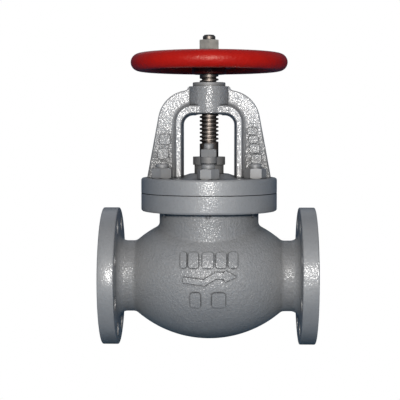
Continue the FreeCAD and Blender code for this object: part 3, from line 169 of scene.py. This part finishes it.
class Shade(Nodes):
    """Builds one procedural material, with every pattern placed in the piece's own space."""

    def __init__(self, name):
        self.material = bpy.data.materials.new(name)
        self.material.use_nodes = True
        super().__init__(self.material.node_tree)
        self.surface = self.tree.nodes["Principled BSDF"]
        self.place = self.add("ShaderNodeTexCoord").outputs["Object"]

    # Patterns.

    def noise(self, size, detail=2.0, rough=0.55, stretch=(1, 1, 1)):
        """A grey pattern whose features are about the given size."""
        spread = self.add("ShaderNodeMapping", {"Vector": self.place, "Scale": stretch}).outputs[0]
        inputs = {"Vector": spread, "Scale": 1.0 / size, "Detail": detail, "Roughness": rough}
        return self.add("ShaderNodeTexNoise", inputs).outputs["Fac"]

    def cells(self, size):
        """Distance to the middle of the nearest random cell of the given size."""
        inputs = {"Vector": self.place, "Scale": 1.0 / size}
        return self.add("ShaderNodeTexVoronoi", inputs).outputs["Distance"]

    # Values.

    def span(self, value, low, high, to_low=0.0, to_high=1.0):
        """Maps low..high to to_low..to_high, clamped."""
        inputs = {"Value": value, 1: low, 2: high, 3: to_low, 4: to_high}
        return self.add("ShaderNodeMapRange", inputs).outputs[0]

    def math(self, operation, first, second=0.0):
        return self.add("ShaderNodeMath", {0: first, 1: second}, operation=operation).outputs[0]

    def times(self, first, *others):
        for other in others:
            first = self.math("MULTIPLY", first, other)
        return first

    def plus(self, first, second):
        return self.math("ADD", first, second)

    def minus(self, first, second):
        return self.math("SUBTRACT", first, second)

    def larger(self, first, second):
        return self.math("MAXIMUM", first, second)

    # Places.

    def along(self, axis):
        """The coordinate along X, Y or Z."""
        return self.add("ShaderNodeSeparateXYZ", {0: self.place}).outputs[axis]

    def off(self, axis, middle):
        """Distance from a middle plane, along X, Y or Z."""
        return self.math("ABSOLUTE", self.minus(self.along(axis), middle))

    def around(self, axis, about=(0.0, 0.0, 0.0)):
        """Distance from a line through the given point along X or Z."""
        across = (0.0, 1.0, 1.0) if axis == "X" else (1.0, 1.0, 0.0)
        moved = self.add("ShaderNodeVectorMath", {0: self.place, 1: about}, operation="SUBTRACT")
        flat = self.add("ShaderNodeVectorMath", {0: moved.outputs[0], 1: across}, operation="MULTIPLY")
        return self.add("ShaderNodeVectorMath", {0: flat.outputs[0]}, operation="LENGTH").outputs["Value"]

    def crevice(self, reach):
        """1 on open faces, towards 0 in corners within the given reach."""
        return self.add("ShaderNodeAmbientOcclusion", {"Distance": reach}, samples=8).outputs["AO"]

    def edges(self, reach):
        """1 on sharp outer edges within the given reach, 0 on open faces."""
        node = self.add("ShaderNodeAmbientOcclusion", {"Distance": reach}, samples=8, inside=True)
        return self.span(node.outputs["AO"], 0.25, 0.6, 1.0, 0.0)

    # Colours and surfaces.

    def blend(self, share, first, second, mode="MIX"):
        """Mixes two colours by a share."""
        node = self.add("ShaderNodeMix", data_type="RGBA", blend_type=mode)
        self.feed(node.inputs[0], share)
        self.feed(node.inputs[6], first)
        self.feed(node.inputs[7], second)
        return node.outputs[2]

    def painted_hollow_shade(self, colour, low, darkest):
        """Darkens a colour with painted shade in the piece's wide hollows and under its overhangs."""
        level = self.span(self.crevice(0.03), low, 0.9, darkest, 1.0)
        neutral = self.add("ShaderNodeCombineColor", {0: level, 1: level, 2: level}).outputs[0]
        return self.blend(1.0, colour, neutral, "MULTIPLY")

    def bump(self, height, depth, strength=1.0, under=None):
        """A normal from a height pattern of the given depth."""
        inputs = {"Height": height, "Distance": depth, "Strength": strength}
        if under is not None:
            inputs["Normal"] = under
        return self.add("ShaderNodeBump", inputs).outputs["Normal"]

    def finish(self, colour, roughness, metallic, normal, coat_normal=None, **constants):
        """Sets the surface; the lacquer coat follows its own normal if it has one."""
        inputs = self.surface.inputs
        self.feed(inputs["Base Color"], colour)
        self.feed(inputs["Roughness"], roughness)
        self.feed(inputs["Metallic"], metallic)
        self.feed(inputs["Normal"], normal)
        self.feed(inputs["Coat Normal"], coat_normal or normal)
        for name, value in constants.items():
            self.feed(inputs[name.replace("_", " ")], value)
        return self.material


def grey(level, warm=0.0):
    """A near-neutral colour; warm above 0 leans to brown and below 0 to blue."""
    return (level * (1 + warm), level, level * (1 - warm), 1.0)


# ---- cast paint ----


def cast_zones(s):
    """Masks of the casting's turned rims and of the yoke's faces."""
    above_cover = s.span(s.along("Z"), YOKE_FOOT, YOKE_FOOT + FOOT_FILLET)
    off_middle = s.off("Y", 0.0)
    off_stem = s.off("X", STEM_X)

    joint_rim = s.span(s.around("Z", STEM_AXIS), JOINT_RADIUS - 2 * SKIN, JOINT_RADIUS - SKIN)
    above_joint_floor = s.span(s.along("Z"), JOINT_FLOOR, JOINT_FLOOR + SKIN)
    end_rim = s.span(s.around("X"), END_RADIUS - 2 * SKIN, END_RADIUS - SKIN)
    in_end_band = s.span(off_stem, END_REACH - END_BAND, END_REACH - END_BAND + SKIN)
    turned = s.larger(s.times(joint_rim, above_joint_floor), s.times(end_rim, in_end_band))

    front = s.times(s.span(off_middle, *RIB_FRONT), above_cover)
    rib = s.times(front, s.span(off_stem, BOSS_RADIUS, BOSS_RADIUS + SKIN))
    return {
        "turned": turned,
        "rough": s.minus(1.0, turned),
        "front": front,
        "rib": rib,
        "boss": s.minus(front, rib),
        "web": s.times(s.span(off_middle, *WEB_FACE, 1.0, 0.0), above_cover),
    }


def cast_colour(s, level, zone, mottle, crevice_shade):
    """Mottled grey, darker in pits, paler on worn edges, with painted shade in corners and hollows and
    painted highlights on the yoke.
    """
    shade = {key: grey(level * share, warm) for key, (share, warm) in CAST_SHADES.items()}
    broad = s.noise(0.045, detail=3.0)
    pits = s.span(s.noise(0.003, rough=0.6), 0.55, 0.68)
    web_painted_shade = s.times(zone["web"], s.span(s.along("Z"), *WEB_PAINTED_SHADE, 1.0, 0.0))
    web_painted_highlight = s.times(zone["web"], s.span(s.along("Z"), *WEB_PAINTED_HIGHLIGHT))

    colour = s.blend(s.span(broad, 0.3, 0.7), shade["deep"], shade["pale"])
    colour = s.blend(s.times(s.span(mottle, 0.35, 0.7, 0.0, 0.4), zone["rough"]), colour, shade["stain"])
    # Painted shade low on the webs, then a painted highlight at their tops.
    colour = s.blend(s.times(web_painted_shade, 0.8), colour, shade["web_painted_shade"])
    colour = s.blend(s.times(web_painted_highlight, 0.6), colour, shade["web_painted_highlight"])
    # A painted highlight on the ribs' fronts.
    colour = s.blend(s.times(zone["rib"], 0.5), colour, shade["rib"])
    colour = s.blend(s.times(pits, 0.15), colour, shade["pit"])
    # Painted shade in corners.
    colour = s.blend(s.span(s.crevice(0.006), 0.25, 0.85), shade["corner"], colour)
    # Painted shade in wide hollows and under the flanges.
    colour = s.painted_hollow_shade(colour, 0.3, 0.72)
    # Painted shade in tight crevices and between parts.
    colour = s.blend(crevice_shade, shade["crevice_shade"], colour)
    worn = s.times(s.edges(0.0016), crevice_shade, s.span(mottle, 0.35, 0.65, 0.15, 0.6))
    return s.blend(worn, colour, shade["worn"])


def cast_normal(s, zone):
    """Sand-cast lumps and pebbles, calmer on the turned rims and the yoke's front."""
    calm = s.larger(zone["turned"], s.times(zone["front"], 0.6))
    height = s.span(calm, 0.0, 1.0, 1.0, 0.3)
    lumps = s.noise(0.008, rough=0.5)
    pebbles = s.noise(0.0034, detail=3.0, rough=0.6)
    normal = s.bump(s.times(lumps, height), 0.0008, 0.4)
    normal = s.bump(s.times(pebbles, height), 0.0012, 0.85, normal)
    normal = s.bump(s.times(s.cells(0.0011), zone["rough"]), 0.0005, 0.7, normal)
    return s.bump(s.noise(0.0009, rough=0.6), 0.0004, 0.75, normal)


def cast_coat(s, zone, crevice_shade):
    """Weight and normal of the paint's gloss: it glitters on the castings and shines on the turned rims."""
    web_gloss = s.times(zone["web"], s.span(s.along("Z"), *WEB_GLOSS, 0.1, 0.75))
    glossy = s.larger(web_gloss, zone["rib"])
    bright = s.plus(s.span(glossy, 0.0, 1.0, 0.55, 1.0), s.times(zone["boss"], 0.2))
    dull = s.span(glossy, 0.0, 1.0, 0.2, 0.3)
    speckle = s.span(s.noise(0.0022, rough=0.65), 0.42, 0.62)
    glitter = s.plus(dull, s.times(speckle, s.minus(bright, dull)))
    weight = s.plus(s.times(glitter, zone["rough"]), s.times(zone["turned"], 0.45))
    weight = s.times(weight, s.span(crevice_shade, 0.2, 1.0))

    height = s.times(s.span(s.larger(glossy, zone["front"]), 0.0, 1.0, 1.0, 0.75), zone["rough"])
    normal = s.bump(s.times(s.noise(0.0026, rough=0.5), height), 0.0009)
    normal = s.bump(s.times(s.noise(0.002, rough=0.5), zone["turned"]), 0.0004, under=normal)
    return weight, normal


def cast_paint(name, level):
    """Silver-grey paint over sand-cast iron: pebbled and mottled, smoother where the casting is turned."""
    s = Shade(name)
    zone = cast_zones(s)
    mottle = s.noise(0.0035, detail=4.0, rough=0.65)
    # 1 on open faces and 0 deep in tight crevices and gaps between parts: painted shade goes there, with less
    # gloss and wear.
    crevice_shade = s.span(s.crevice(0.003), 0.6, 0.97)
    colour = cast_colour(s, level, zone, mottle, crevice_shade)
    roughness = s.span(mottle, 0.3, 0.75, 0.58, 0.7)
    coat, coat_normal = cast_coat(s, zone, crevice_shade)
    return s.finish(
        colour, roughness, FLAKE, cast_normal(s, zone), coat_normal,
        Coat_Weight=coat, Coat_Roughness=0.2, Coat_IOR=1.7,
    )


# ---- other materials ----


def machined_paint(name, level):
    """The same paint over machined steel: smoother, with a faint orange peel and painted shade in corners and
    hollows.
    """
    s = Shade(name)
    broad = s.noise(0.02, detail=3.0)
    colour = s.blend(s.span(broad, 0.3, 0.7), grey(level * 0.88, 0.01), grey(level * 1.02, 0.03))
    # Painted shade in corners.
    colour = s.blend(s.span(s.crevice(0.004), 0.25, 0.9), grey(level * 0.35), colour)
    # Painted shade in wide hollows.
    colour = s.painted_hollow_shade(colour, 0.2, 0.6)
    worn = s.times(s.edges(0.0012), s.span(broad, 0.35, 0.65, 0.1, 0.6))
    colour = s.blend(worn, colour, grey(level * 1.7, 0.01))
    roughness = s.span(broad, 0.3, 0.7, 0.55, 0.68)
    peel = s.bump(s.noise(0.0016), 0.0003, 0.4)
    return s.finish(colour, roughness, FLAKE, peel, Coat_Weight=0.12, Coat_Roughness=0.45)


def red_enamel(name):
    """Glossy red enamel with a faint orange peel over a cast wheel, with painted shade in its corners and
    under the hub.
    """
    s = Shade(name)
    fine = s.noise(0.0012)
    colour = s.blend(s.span(s.noise(0.05, detail=3.0), 0.3, 0.7), RED_DEEP, RED_PALE)
    # Painted shade in the wheel's corners and under its rim.
    colour = s.blend(s.span(s.crevice(0.03), 0.45, 0.95), RED_CORNER_SHADE, colour)
    worn = s.times(s.edges(0.001), s.span(fine, 0.4, 0.65, 0.0, 0.5))
    colour = s.blend(worn, colour, RED_WORN)
    # Painted shade under the hub, near the stem and below the wheel's middle.
    near_hub = s.span(s.around("Z", STEM_AXIS), *HUB_SHADE, 0.85, 0.0)
    under = s.span(s.along("Z"), WHEEL_MIDDLE - HUB_SHADE_DROP, WHEEL_MIDDLE, 1.0, 0.0)
    colour = s.blend(s.times(near_hub, under), colour, RED_HUB_SHADE)
    roughness = s.span(fine, 0.3, 0.7, 0.36, 0.48)
    normal = s.bump(s.noise(0.012), 0.0016, 0.5)
    normal = s.bump(s.noise(0.003), 0.0006, 0.6, normal)
    normal = s.bump(fine, 0.00015, 0.5, normal)
    return s.finish(colour, roughness, 0.0, normal, Specular_IOR_Level=0.36, Specular_Tint=RED_SHEEN)


def turned_metal(name, colours, rough, ring=0.0004):
    """Bare turned metal: fine rings about the axis, stains and painted shade in corners."""
    s = Shade(name)
    rings = s.noise(ring, detail=3.0, rough=0.7, stretch=(0.02, 0.02, 1.0))
    stain = s.noise(0.012, detail=4.0, rough=0.65)
    colour = s.blend(s.span(stain, 0.3, 0.7), *colours)
    # Painted shade in corners.
    corner_shade = tuple(0.25 * part for part in colours[0][:3]) + (1.0,)
    colour = s.blend(s.span(s.crevice(0.003), 0.3, 0.9), corner_shade, colour)
    return s.finish(colour, s.span(stain, 0.3, 0.7, *rough), 1.0, s.bump(rings, 0.0001, 0.3))


def soft_black(name, level, weave):
    """Dark packing or gasket sheet, with a fibrous bump."""
    s = Shade(name)
    fibre = s.noise(weave, detail=4.0, rough=0.7, stretch=(1, 1, 3))
    colour = s.blend(s.span(fibre, 0.3, 0.7), grey(level * 0.6), grey(level * 1.5))
    return s.finish(colour, s.span(fibre, 0.3, 0.7, 0.55, 0.85), 0.0, s.bump(fibre, 0.0004, 0.6))


MATERIALS = {
    "cast": cast_paint("cast_grey_paint", CAST_LEVEL),
    "machined": machined_paint("machined_grey_paint", CAST_LEVEL),
    # A darker copy of the machined paint for the gland: painted shade.
    "gland": machined_paint("gland_painted_shade_paint", GLAND_SHADED_LEVEL),
    "red": red_enamel("red_enamel"),
    "stem": turned_metal("stem_steel", STEM_STEEL, (0.42, 0.56), ring=0.0008),
    "nut": turned_metal("bare_nut_steel", NUT_STEEL, (0.5, 0.65)),
    "bronze": turned_metal("turned_bronze", BRONZE, (0.24, 0.4)),
    "packing": soft_black("graphite_packing", 0.03, 0.0012),
    "gasket": soft_black("gasket_sheet", 0.02, 0.0008),
}

FINISH_OF = {
    "valve_body": "cast",
    "bonnet": "cast",
    "gland": "gland",
    "yoke_bush": "machined",
    "yoke_bush_screw": "nut",
    "handwheel": "red",
    "handwheel_nut": "nut",
    "handwheel_washer": "nut",
    "stem": "stem",
    "seat_ring": "bronze",
    "disc": "bronze",
    "disc_nut": "bronze",
    "disc_lock_screw": "nut",
    "back_seat_bush": "bronze",
    "packing_washer": "bronze",
    "bonnet_gasket": "gasket",
}


def finish_of(name):
    """The material of a CAD piece, by its name."""
    if name in FINISH_OF:
        return MATERIALS[FINISH_OF[name]]
    if name.startswith("packing_ring"):
        return MATERIALS["packing"]
    return MATERIALS["machined"]


for name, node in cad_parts.items():
    for slot in node.material_slots:
        slot.link = "OBJECT"
        slot.material = finish_of(name)
    weld = node.modifiers.new("weld", "WELD")
    weld.merge_threshold = SAME_POINT
    split = node.modifiers.new("split", "EDGE_SPLIT")
    split.split_angle = SHARP


# ---- floor, light and camera ----


def floor():
    """A plain floor under the valve, white to the camera and cool in the light it gives back."""
    mesh = bpy.data.meshes.new("floor")
    left, right = STEM_X - FLOOR_REACH, STEM_X + FLOOR_REACH
    near, far = -FLOOR_REACH, FLOOR_REACH
    corners = [(x, y, FLOOR_Z) for x, y in ((left, near), (right, near), (right, far), (left, far))]
    mesh.from_pydata(corners, [], [(0, 1, 2, 3)])
    thing = bpy.data.objects.new("floor", mesh)
    bpy.context.scene.collection.objects.link(thing)
    s = Shade("pale_floor")
    s.feed(s.surface.inputs["Base Color"], FLOOR_BOUNCE)
    s.feed(s.surface.inputs["Roughness"], 0.9)
    glow = s.add("ShaderNodeEmission", {"Color": WHITE, "Strength": 1.0}).outputs[0]
    output = s.tree.nodes["Material Output"]
    s.feed(output.inputs["Surface"], s.camera_sees(glow, s.surface.outputs[0]))
    mesh.materials.append(s.material)


def studio():
    """Soft light from a dim room: brighter overhead, cool at the sides, white behind the valve."""
    world = bpy.data.worlds.new("studio")
    world.use_nodes = True
    world.node_tree.nodes.clear()
    room = Nodes(world.node_tree)
    towards = room.add("ShaderNodeTexCoord").outputs["Generated"]
    height = room.add("ShaderNodeSeparateXYZ", {0: towards}).outputs["Z"]
    share = room.add("ShaderNodeMapRange", {"Value": height, 1: -1.0, 2: 1.0}).outputs[0]
    ramp = room.add("ShaderNodeValToRGB", {0: share})
    stops = ramp.color_ramp.elements
    stops[0].color = ROOM_BELOW
    stops[1].color = ROOM_ABOVE
    stops.new(0.5).color = ROOM_LEVEL
    soft = room.add("ShaderNodeBackground", {"Color": ramp.outputs[0], "Strength": 1.0}).outputs[0]
    backdrop = room.add("ShaderNodeBackground", {"Color": WHITE, "Strength": 1.0}).outputs[0]
    room.add("ShaderNodeOutputWorld", {"Surface": room.camera_sees(backdrop, soft)})
    bpy.context.scene.world = world


def lamp(name, place, side, power, colour):
    """A square area light aimed at the valve."""
    data = bpy.data.lights.new(name, "AREA")
    data.shape = "SQUARE"
    data.size = side
    data.energy = power
    data.color = colour
    thing = bpy.data.objects.new(name, data)
    thing.location = place
    aim = Vector(LAMP_AIM) - Vector(place)
    thing.rotation_euler = aim.to_track_quat("-Z", "Y").to_euler()
    bpy.context.scene.collection.objects.link(thing)


def camera():
    """A long lens at the height of the bonnet, looking slightly down at the front of the valve."""
    data = bpy.data.cameras.new("camera")
    data.sensor_width = SENSOR
    data.lens = LENS
    data.clip_end = CAMERA_FAR
    thing = bpy.data.objects.new("camera", data)
    thing.location = CAMERA_PLACE
    thing.rotation_euler = (math.radians(90) - CAMERA_DOWN, 0.0, CAMERA_LEFT)
    bpy.context.scene.collection.objects.link(thing)
    bpy.context.scene.camera = thing


floor()
studio()
camera()
for name, settings in LAMPS.items():
    lamp(name, *settings)

bpy.context.scene.view_settings.view_transform = "Standard"
bpy.context.scene.view_settings.look = "None"
